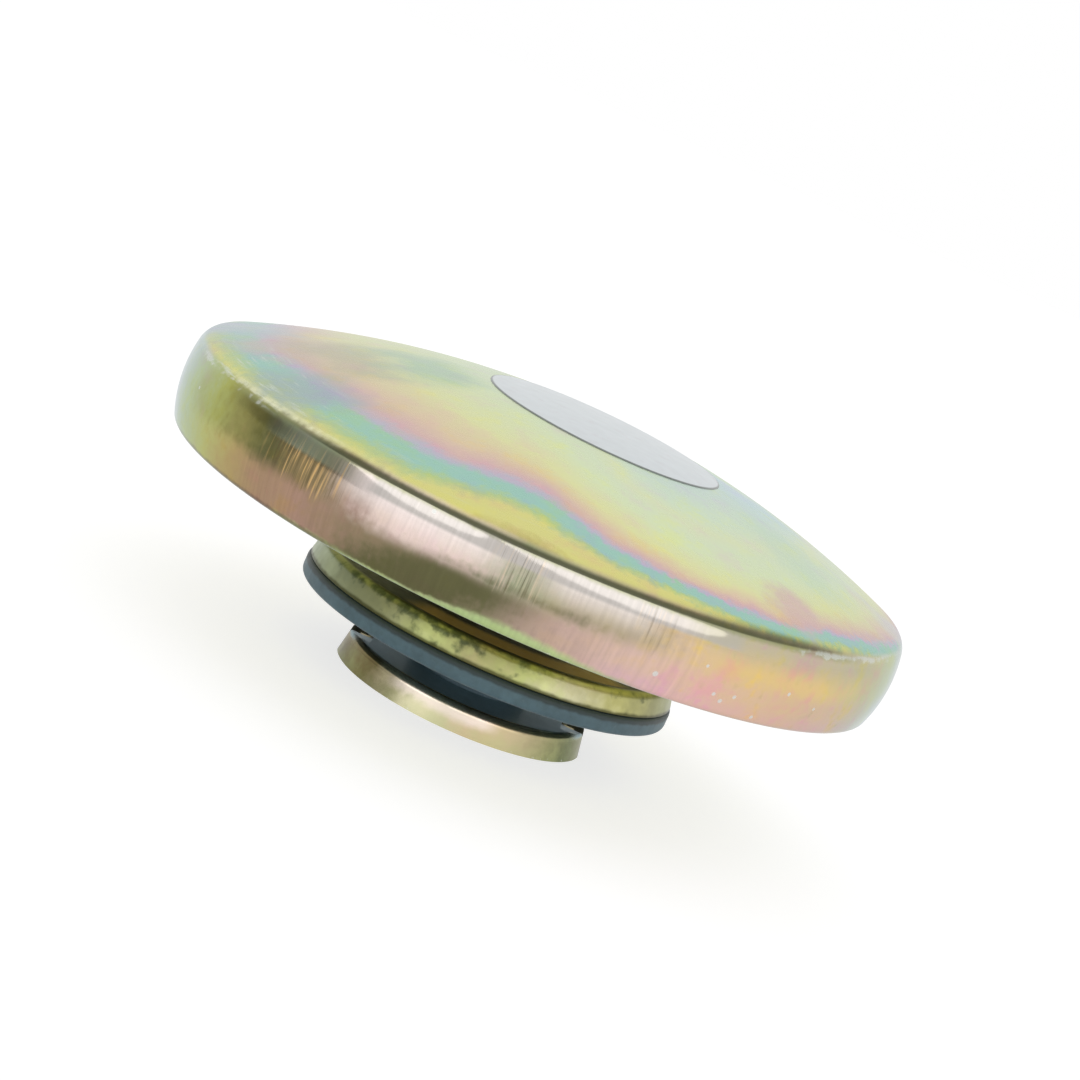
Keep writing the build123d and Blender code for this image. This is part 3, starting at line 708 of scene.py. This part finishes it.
class CoverPlating(Finish):
    """Yellow zinc on the cover. Seen from above, the film's tints lie in rings; round the skirt they follow
    the turn; the shoulder and the hem are worn to bare zinc, and fine lines from drawing run up the skirt."""

    def __init__(self):
        super().__init__("cover_plating")
        feed(self.tree, self.shader.inputs["Specular Tint"], EDGE_TINT)
        self.ledge = self.z - HEM / MM
        self.cloud = self.grain(0.3, 3)
        self.fine = self.grain(1.1, 1.8, shift=2)
        self.streak = self.drawn_lines(2.2, 0.05)
        self.drift = self.grain(0.1) * 0.4 + self.cloud * 0.4 + self.fine * 0.45
        self.level = self.ledge + self.drift * 0.5
        self.scuff = self.along_rim(0.55, 4)
        self.behind = self.turn.calc("ABSOLUTE").spread(90.0, 160.0)
        self.on_shoulder = self.ledge.between(8.0, 9.5, 0.5) * self.turn.between(-21.0, 32.0, 3.0)
        # Painted highlight: the skirt's upper front is made paler where it mirrors the lamps and the floor.
        painted_sheen = self.ledge.spread(5.2, 8.2) * self.ledge.spread(9.8, 9.3)
        self.painted_sheen = painted_sheen * self.turn.between(-23.0, 16.0, 7.0)

    def dome_tints(self):
        """Rings round a point beside the axis, pushed outwards at the front and drawn together or apart by
        turn, then clouds."""
        turn = self.turn
        ring = self.away(RING_CENTRE) + turn.hump(-3.0, 18.0) * 3.4 - turn.hump(36.0, 26.0) * 1.1 + self.drift
        width = turn.spread(-25.0, 25.0, 0.55, 1.0) * turn.spread(8.0, 34.0, 1.0, 1.5)
        width = width * (1.0 - self.behind) + self.behind * 0.8
        swirl = self.grain(0.045, 2, shift=4)
        ring = ring + swirl * (self.radius.spread(40.0, 26.0) + self.behind) * 3.5
        dome = ((ring - RING_MIDDLE) * width + RING_MIDDLE).tinted(DOME_RINGS)
        haze = self.grain(0.12, 3, shift=6) * 3.5 + self.drift
        for centre, size, tint, amount in DOME_CLOUDS:
            dome = self.mix((self.away(centre) + haze).spread(size, size * 0.15) * amount, dome, tint)
        return dome

    def skirt_tints(self):
        """Tints by turn in two levels, then the green patch along the hem and, above it, a painted dark
        reflection.
        """
        turn, ledge, level = self.turn, self.ledge, self.level
        swing = turn + self.drift * 3.0
        skirt = self.mix(level.spread(5.6, 3.4), swing.tinted(SKIRT_UPPER), swing.tinted(SKIRT_LOWER))
        hem = turn.hump(2.0, 16.0) * 0.9 - ledge + self.fine * 0.15 + 0.25
        green = hem.spread(-0.6, 0.35) * turn.between(-34.0, 18.0, 4.0)
        skirt = self.mix(green * 0.85, skirt, HEM_GREEN)
        # Painted dark reflection: the skirt's lower front, which mirrors the shaded floor before the cap, is
        # darkened towards olive.
        lean = turn + ledge * -2.2
        dark = lean.hump(-15.0, 18.0) * 1.2 * level.spread(5.8, 3.2)
        dark = dark.most(ledge.hump(5.0, 1.3) * turn.between(-6.0, 8.0, 12.0) * 0.5)
        dark = dark + self.fine * 0.16 + self.cloud * 0.12 + self.streak * 0.12
        return self.mix(dark.spread(0.05, 1.05) * hem.spread(0.1, -0.3) * 0.9, skirt, OLIVE)

    def line_marks(self):
        """Where the drawn lines show: three zones of the turn, below the shoulder."""
        zones = self.turn.hump(-33.0, 12.0)
        zones = zones.most(self.turn.hump(0.5, 8.0) * 0.55).most(self.turn.hump(20.0, 7.0) * 0.4)
        reach = self.level + self.drawn_lines(1.8, 0.0) * 0.7
        return self.drawn_lines(3.6, 0.04) * zones.spread(0.0, 0.7) * reach.between(5.4, 8.4, 1.7)

    def marked_skirt(self, lines):
        """The skirt's tints with its marks: painted pale highlight, shoulder band, drawn lines, painted shadow
        along the hem edge and a painted dark reflection line on the shoulder.
        """
        turn, ledge = self.turn, self.ledge
        # painted highlight laid on the skirt's upper front
        painted_sheen = self.painted_sheen * (turn.hump(1.0, 7.0) * -0.75 + 0.9) * 0.7
        skirt = self.mix(painted_sheen, self.skirt_tints(), PAINTED_SHEEN_TINT)
        skirt = self.mix(self.on_shoulder * 0.95, skirt, SHOULDER_BAND)
        bright = self.mix(turn.spread(-22.0, -12.0), LINE_GOLD, LINE_SAND)
        skirt = self.mix(lines.spread(0.0, 0.8) * 0.6, skirt, bright)
        skirt = self.mix(lines.spread(0.0, -0.8) * 0.7, skirt, LINE_DARK)
        skirt = self.shade(skirt, self.streak * turn.between(-42.0, 26.0, 6.0) * 0.08 + 1.04)
        # Painted shadow: a dark line along the hem's lower edge on the left.
        edge = (ledge + self.fine * 0.1).spread(0.75, 0.3) * turn.between(-68.0, -27.0, 6.0)
        skirt = self.mix(edge * 0.6, skirt, HEM_SHADOW)
        greyer = self.level.spread(5.8, 9.0) * turn.between(30.0, 60.0, 8.0)
        skirt = self.mix(greyer * 0.8, skirt, SHOULDER_STRAW)
        blush = ledge.spread(2.8, 0.8) * turn.between(20.0, 62.0, 8.0)
        skirt = self.mix(blush, skirt, VIOLETER, "MULTIPLY")
        # Painted reflection: a dark line along the shoulder, just above where the lamps' highlight falls.
        reflection_line = (ledge + self.fine * 0.1).hump(9.7, 0.75) * turn.between(-46.0, 50.0, 12.0)
        skirt = self.mix(reflection_line * 0.8, skirt, REFLECTION_LINE_DARK)
        corner_left = ledge.between(8.1, 9.4, 0.6) * turn.hump(-33.5, 11.0)
        return self.mix(corner_left * 0.62, skirt, SHOULDER_SAGE)

    def mottled(self, colour):
        """The colour with yellower and mauver patches, weaker at the front and none on the painted pale highlight
        or the shoulder band.
        """
        turn, ledge = self.turn, self.ledge
        mottle = self.grain(0.2, 3, shift=8, tilt=0.6) * 0.85 + self.fine * 0.3
        front = turn.between(-28.0, 20.0, 8.0) * ledge.spread(10.4, 9.6)
        right = turn.between(24.0, 64.0, 8.0) * ledge.spread(10.2, 9.6)
        amount = ledge.spread(SHOULDER_TO, SHOULDER_FROM, 0.45, 0.6) * (1.0 - front * 0.7) + right * 0.35
        amount = amount * (1.0 - self.painted_sheen.most(self.on_shoulder))
        colour = self.mix(mottle.spread(0.0, 0.9) * amount, colour, YELLOWER, "MULTIPLY")
        return self.mix(mottle.spread(0.0, -0.9) * amount, colour, MAUVER, "MULTIPLY")

    def wear(self):
        """Bare zinc: along the shoulder away from the front, along the hem's edge, and in chips."""
        turn, ledge = self.turn, self.ledge
        ends = turn.between(-75.0, -46.0, 8.0).most(turn.between(44.0, 78.0, 8.0)).most(self.behind)
        corner = self.level.hump(9.9, 1.0)
        wear = (corner * (self.scuff * 0.8 + self.fine * 0.5 + 0.7) * ends).spread(0.3, 1.3) * 0.75
        hem = self.grain(1.3, 4, shift=7) + ledge.spread(0.7, 0.0) * 1.3
        wear = wear.most(hem.spread(1.3, 2.0) * 0.8)
        for chip_turn, chip_ledge, size in SKIRT_CHIPS:
            wear = wear.most(self.chip(on_skirt(chip_turn, chip_ledge), size))
        return wear

    def scraped(self, colour):
        """The colour with scrapes along the dome's edge and a pale line on the rim at the left."""
        turn, ledge = self.turn, self.ledge
        scrape = self.along_rim(0.9, 3).spread(0.2, 0.9)
        scrape = scrape * self.radius.spread(35.0, 41.0) * ledge.spread(9.0, 10.5)
        colour = self.mix(scrape * (turn.hump(-52.0, 26.0) * 0.6 + 0.1), colour, SCRAPED_ZINC)
        rim_line = (ledge + self.scuff * 0.15).hump(10.3, 0.6) * (turn + self.cloud * 6.0).hump(-42.0, 26.0)
        return self.mix(rim_line * (self.fine * 0.4 + 0.6), colour, RIM_STRAW)

    def build(self):
        """The finished material: tints, marks and wear, glossier on the skirt than on the dome."""
        turn, ledge = self.turn, self.ledge
        lines, wear = self.line_marks(), self.wear()
        on_skirt_only = ledge.spread(SHOULDER_TO, SHOULDER_FROM)
        colour = self.mottled(self.mix(on_skirt_only, self.dome_tints(), self.marked_skirt(lines)))
        colour = self.scraped(self.mix(wear * 0.8, colour, BARE_ZINC))
        rough = self.grain(0.5, 3, shift=11) * 0.02 + ledge.spread(SHOULDER_TO, SHOULDER_FROM, 0.27, 0.15)
        rough = rough + wear * 0.2 - ledge.between(7.4, 9.4, 0.8) * turn.between(-30.0, 34.0, 6.0) * 0.06
        relief = self.grain(0.5, 1, shift=5) * 0.5 + lines * 0.8 - wear * 0.6
        return self.finish(colour, rough, relief, PLATING_RELIEF)


def inner_plating():
    """Yellow zinc on the pieces inside: tints drift with a soft grain, with dull darker clouds."""
    finish = Finish("inner_plating")
    cloud = finish.grain(0.12) + finish.grain(0.48, 3, shift=2) * 0.4
    stain = finish.grain(0.36, 4, shift=9).spread(0.3, 1.3)
    colour = finish.mix(stain * 0.3, cloud.tinted(INNER_TINTS), OLIVE)
    specks = finish.grain(2.4, 3, shift=4).spread(1.35, 1.8)
    colour = finish.mix(specks * 0.6, colour, BARE_ZINC)
    rough = finish.grain(0.8, 2) * 0.04 + 0.27 + stain * 0.1
    return finish.finish(colour, rough, finish.grain(2.0, 3) * 0.4, PLATING_RELIEF)


def pan_plating():
    """Yellow zinc of the gasket pan: dull gold, cloudy, greener to the left, with dark green stains below
    its top edge, painted shade along its lower edge, and painted shade on its top under the cover."""
    finish = Finish("pan_plating")
    depth = finish.z * -1.0 + PAN_HIGH.z / MM
    drift = finish.grain(0.2) * 0.5 + finish.grain(0.8, 4) * 0.5
    colour = (finish.turn + drift * 8.0).tinted(PAN_TINTS)
    blot = finish.grain(0.7, 5, shift=3) + finish.turn.hump(-16.0, 50.0) * 0.95 + depth.spread(1.6, 0.3) * 0.8
    stain = (blot - 0.75).spread(0.0, 1.2) * depth.spread(0.0, 0.25, 0.4, 1.0)
    colour = finish.shade(colour, finish.grain(0.5, 4, shift=5) * 0.16 + 1.16)
    colour = finish.mix(stain * 0.8, colour, PAN_STAIN)
    colour = finish.mix(finish.grain(2.0, 3, shift=6).spread(1.1, 1.8) * 0.6, colour, BARE_ZINC)
    # Painted shade: the pan's lower edge darkened where it meets the gasket.
    colour = finish.mix((depth + drift * 0.15).spread(2.25, 2.65) * 0.85, colour, PAN_EDGE_SHADE)
    inward = finish.radius + drift * 0.15
    top = inward.spread(22.4, 21.8)
    # Painted shade on the top under the cover: gold at the front's outer part, dark at the sides and back, darker
    # still further in.
    gold = finish.mix(finish.turn.between(-20.0, 46.0, 10.0), PAN_TOP_SHADE, PAN_TOP_GOLD)
    colour = finish.mix(top * 0.92, colour, finish.mix(inward.spread(18.6, 16.6), gold, PAN_TOP_DEEP_SHADE))
    # Painted shade: a dark line along the bend of the top.
    colour = finish.mix(inward.hump(22.1, 0.5) * 0.8, colour, PAN_BEND_SHADE)
    relief = finish.grain(1.6, 3) * 0.5 + finish.grain(0.3, 2, shift=1) * 1.5
    rough = finish.grain(0.8) * 0.05 + 0.34 + stain * 0.15 + top * 0.2
    return finish.finish(colour, rough, relief, PAN_RELIEF)


def lug_plating():
    """Yellow zinc of the lug plate: pale gold with green clouds, a painted rosy highlight along the front of
    its shoulder, bronze towards its left end, the rim's edge worn bright, blue-grey painted shade on the
    top and the lugs' ends, and dark painted shade in the notches."""
    finish = Finish("lug_plating")
    turn, height = finish.turn, finish.z
    drift = finish.grain(0.25) * 0.5 + finish.grain(0.9, 3, shift=2) * 0.4
    colour = (turn + drift * 9.0).tinted(LUG_TINTS)
    colour = finish.mix((drift + height * 0.4).spread(1.2, -0.4) * 0.4, colour, LUG_GREEN)
    # Painted highlight: pale rose along the front of the shoulder.
    painted_shoulder_highlight = (height + drift * 0.4).hump(2.2, 1.3) * turn.between(-24.0, 12.0, 12.0)
    colour = finish.mix(painted_shoulder_highlight * 0.75, colour, LUG_HIGHLIGHT)
    # Painted shade: blue-grey on the top, which lies in the dark gap under the gasket, and on the lugs' ends
    # beside the notches.
    ends = turn.calc("ABSOLUTE").hump(96.0, 36.0).spread(0.0, 0.4) * height.spread(2.5, 2.9)
    top = ends.most(finish.radius.spread(15.0, 14.4) * height.spread(2.3, 2.6))
    colour = finish.mix(top * 0.95, colour, LUG_TOP_SHADE)
    # Painted shade on the notches' cut faces.
    cut = finish.y.calc("ABSOLUTE").spread(2.25, 2.05) * finish.x.calc("ABSOLUTE").spread(11.5, 12.2)
    colour = finish.mix(cut * 0.9, colour, LUG_NOTCH_SHADE)
    wear = (finish.grain(1.8, 3, shift=4) + height.spread(0.7, 0.1) * 0.8).spread(1.2, 1.9)
    colour = finish.mix(wear * 0.6, colour, BARE_ZINC)
    relief = finish.grain(1.5, 3) * 0.3 + finish.drawn_lines(1.2) * 0.3
    rough = finish.grain(0.8) * 0.04 + 0.22 + wear * 0.15 + top * 0.2
    return finish.finish(colour, rough, relief, PLATING_RELIEF)


def gasket_rubber():
    """Slate grey rubber: matt, faintly cloudy, with pale bloom specks mostly at the right, and painted shade
    under the pan's edge."""
    finish = Finish("gasket_rubber", metallic=0.0)
    cloudy = finish.grain(0.4, 3) * 0.16 + finish.grain(1.4, 4) * 0.12 + 1.0
    base = finish.shade(SLATE, cloudy)
    bloom = finish.grain(1.3, 5, shift=5).spread(0.5, 1.7) * finish.turn.spread(10.0, 50.0, 0.4, 0.9)
    base = finish.mix(bloom * 0.7, base, SLATE_BLOOM)
    # Painted shade: the top of the ring's wall darkened under the pan's edge.
    under = (PAN_LOW.z / MM - finish.z + finish.grain(0.8, 3, shift=1) * 0.1).spread(1.0, 0.6)
    base = finish.mix(under * 0.85, base, SLATE_SHADE)
    relief = finish.grain(3.0, 3) * 0.6
    return finish.finish(base, finish.grain(0.6, 2, shift=3) * 0.05 + 0.5, relief, RUBBER_RELIEF)


def seal_rubber():
    """Black rubber of the small valve faces, matt, with a faint dusty bloom."""
    finish = Finish("seal_rubber", metallic=0.0)
    base = finish.mix(finish.grain(1.5, 4).spread(0.4, 1.8) * 0.4, SEAL_BLACK, SEAL_DUST)
    return finish.finish(base, finish.grain(1.2, 2) * 0.05 + 0.55, finish.grain(3.0, 3) * 0.6, RUBBER_RELIEF)


def label_film():
    """Bare round label: silvery film, slightly cloudy, with painted shade round its rim."""
    finish = Finish("label_film", metallic=0.0)
    out = finish.away((LABEL_CENTRE.x / MM, LABEL_CENTRE.y / MM))
    film = finish.shade(FILM_SILVER, finish.grain(0.5, 4) * 0.04 + 1.0)
    film = finish.mix(finish.grain(0.5, 5, shift=8).spread(0.1, 1.3) * 0.5, film, FILM_CLOUD)
    # Painted shade: a dark ring round the label's rim.
    edge = out.spread(LABEL_RADIUS / MM - 0.32, LABEL_RADIUS / MM - 0.12)
    film = finish.mix(edge * 0.85, film, FILM_EDGE_SHADE)
    return finish.finish(film, finish.grain(0.7) * 0.03 + 0.32, finish.grain(1.2, 3) * 0.5, LABEL_RELIEF)


def plain_metal(name, colour, rough, line=0.0):
    """Turned or drawn metal: even colour with faint clouds and, where asked, fine rings from the lathe."""
    finish = Finish(name)
    base = finish.shade(colour, finish.grain(0.6, 3) * 0.08 + 1.0)
    relief = finish.grain(2.5, 3) * 0.5
    if line:
        relief = relief + (finish.z * 12.0).calc("SINE") * line
    return finish.finish(base, finish.grain(1.2, 3) * 0.05 + rough, relief, PLATING_RELIEF)


# Studio


# How much darker the sky is in the strip over the camera and at the left
STRIP_DARKER = 0.68
LEFT_DARKER = 0.55
LEFT_TURN = -78                     # degrees from the front

# Floor: its grey, and its grey and glow where the camera or a reflection sees it
FLOOR_HALF = 3                      # metres from the middle to a side
FLOOR_DROP = 0.02 * MM
FLOOR_GREY = (0.8, 0.8, 0.8)
FLOOR_SEEN_GREY = (0.45, 0.45, 0.45)
FLOOR_GLOW = 0.7
FLOOR_MIRRORED_GLOW = 0.6

# Soft lamps
LAMP_LEVEL = 0.54
LAMP_RISE = 15                      # degrees above the floor
LAMP_AWAY = 0.5                     # metres from the cap


def studio_world():
    """Soft white studio. The sky is darker in a strip high over the camera and, with a soft edge, at the
    left, so that the dome's edge and the skirt have something to mirror. The camera sees it as white."""
    world = bpy.data.worlds.new("studio")
    world.use_nodes = True
    bpy.context.scene.world = world
    tree = world.node_tree
    split = tree.nodes.new("ShaderNodeSeparateXYZ")
    tree.links.new(tree.nodes.new("ShaderNodeTexCoord").outputs["Generated"], split.inputs[0])
    x, y, z = (Field(tree, socket) for socket in split.outputs)
    strip = z.spread(0.36, 0.44) * z.spread(0.90, 0.66) * (x * 0.4 - y).spread(-0.4, 0.0)
    left = math.radians(LEFT_TURN)
    shade = (x * math.sin(left) - y * math.cos(left)).spread(0.78, 1.0)
    level = (strip * -STRIP_DARKER + 1.0) * (shade * -LEFT_DARKER + 1.0)
    camera = Field(tree, tree.nodes.new("ShaderNodeLightPath").outputs["Is Camera Ray"])
    back = tree.nodes["Background"]
    back.inputs["Color"].default_value = (1, 1, 1, 1)
    feed(tree, back.inputs["Strength"], level.most(camera))


def floor():
    """Pale floor. The camera sees it as white, but for the cap's shadow."""
    mesh = bpy.data.meshes.new("floor")
    corners = ((-1, -1), (1, -1), (1, 1), (-1, 1))
    spots = [(x * FLOOR_HALF, y * FLOOR_HALF, -FLOOR_DROP) for x, y in corners]
    mesh.from_pydata(spots, [], [(0, 1, 2, 3)])
    piece = add_object("floor", mesh)
    material = bpy.data.materials.new("floor")
    material.use_nodes = True
    tree = material.node_tree
    shader = tree.nodes["Principled BSDF"]
    shader.inputs["Roughness"].default_value = 1
    shader.inputs["Specular IOR Level"].default_value = 0
    shader.inputs["Emission Color"].default_value = (1, 1, 1, 1)
    path = tree.nodes.new("ShaderNodeLightPath")
    camera = Field(tree, path.outputs["Is Camera Ray"])
    mirrored = Field(tree, path.outputs["Is Glossy Ray"])
    feed(tree, shader.inputs["Emission Strength"], camera * FLOOR_GLOW + mirrored * FLOOR_MIRRORED_GLOW)
    grey = mix_colours(tree, camera.most(mirrored), FLOOR_GREY, FLOOR_SEEN_GREY)
    feed(tree, shader.inputs["Base Color"], grey)
    mesh.materials.append(material)


def soft_box(name, turn, roll, width, height):
    """Oval area lamp facing the cap: degrees turned from the front and rolled, then its size."""
    data = bpy.data.lights.new(name, "AREA")
    data.shape = "ELLIPSE"
    data.size, data.size_y = width, height
    data.energy = LAMP_LEVEL * math.pi * width * height
    lamp = add_object(name, data)
    turn, rise = math.radians(turn), math.radians(LAMP_RISE)
    aim = Vector((0, 0, HEM))
    reach = Vector((math.cos(rise) * math.sin(turn), -math.cos(rise) * math.cos(turn), math.sin(rise)))
    lamp.location = aim + reach * LAMP_AWAY
    aimed = (-reach).to_track_quat("-Z", "Y").to_matrix()
    lamp.rotation_euler = (aimed @ Matrix.Rotation(math.radians(roll), 3, "Z")).to_euler()
    lamp.visible_camera = False


make_camera()
bpy.context.scene.view_settings.view_transform = "Standard"
studio_world()
floor()
soft_box("front_right", 28, -7, 0.68, 0.15)
soft_box("front_left", -33, -5, 0.40, 0.14)


def dress(piece, body, node, material):
    """Stand a new piece in for a node, on its body, with its finish."""
    piece.data.materials.append(material)
    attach(piece, body)
    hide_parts(node)


def fit_springs(material):
    """Each coil spring rides on the body that its node rides on."""
    bodies = frame["record"]["behaviour"]["bodies"]
    for joint in frame["joints"]:
        for soft in joint.get("deforming_nodes", []):
            node, level = soft["node"], soft["fixed_end_z_m"]
            low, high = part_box(node)
            piece = spring_coil(node + "_coil", *SPRINGS[node], low.z, high.z)
            dress(piece, next(b for b in bodies if node in bodies[b]), node, material)
            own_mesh(piece)


cover = turned("cover", cover_outline(), pressing_waves)
dress(cover, "cover", "outer_shell", CoverPlating().build())
dress(label_sheet(), "cover", "label", label_film())
dress(turned("pan", pan_outline()), "pan", "gasket_pan", pan_plating())
seal_ring = turned("seal_ring", gasket_outline(), squeezed_rubber)
dress(seal_ring, "pan", "gasket", gasket_rubber())

finishes = {
    "inner_plating": inner_plating(),
    "black_oxide": plain_metal("black_oxide", BLUE_BLACK, 0.5),
    "washer_steel": plain_metal("bright_zinc", BRIGHT_STEEL, 0.3),
    "spring_steel": plain_metal("spring_steel", SPRING_STEEL, 0.32),
    "valve_brass": plain_metal("valve_brass", BRASS, 0.28, 0.3),
    "gasket_rubber": seal_rubber(),
}
fit_springs(finishes["spring_steel"])
replaced = ("outer_shell", "label", "gasket_pan", "gasket", *SPRINGS)
for part in frame["record"]["subparts"]:
    if part["node"] in replaced:
        continue
    slots = frame["nodes"][part["node"]].data.materials
    slots.clear()
    slots.append(lug_plating() if part["node"] == "lug_plate" else finishes[part["material_slot"]])
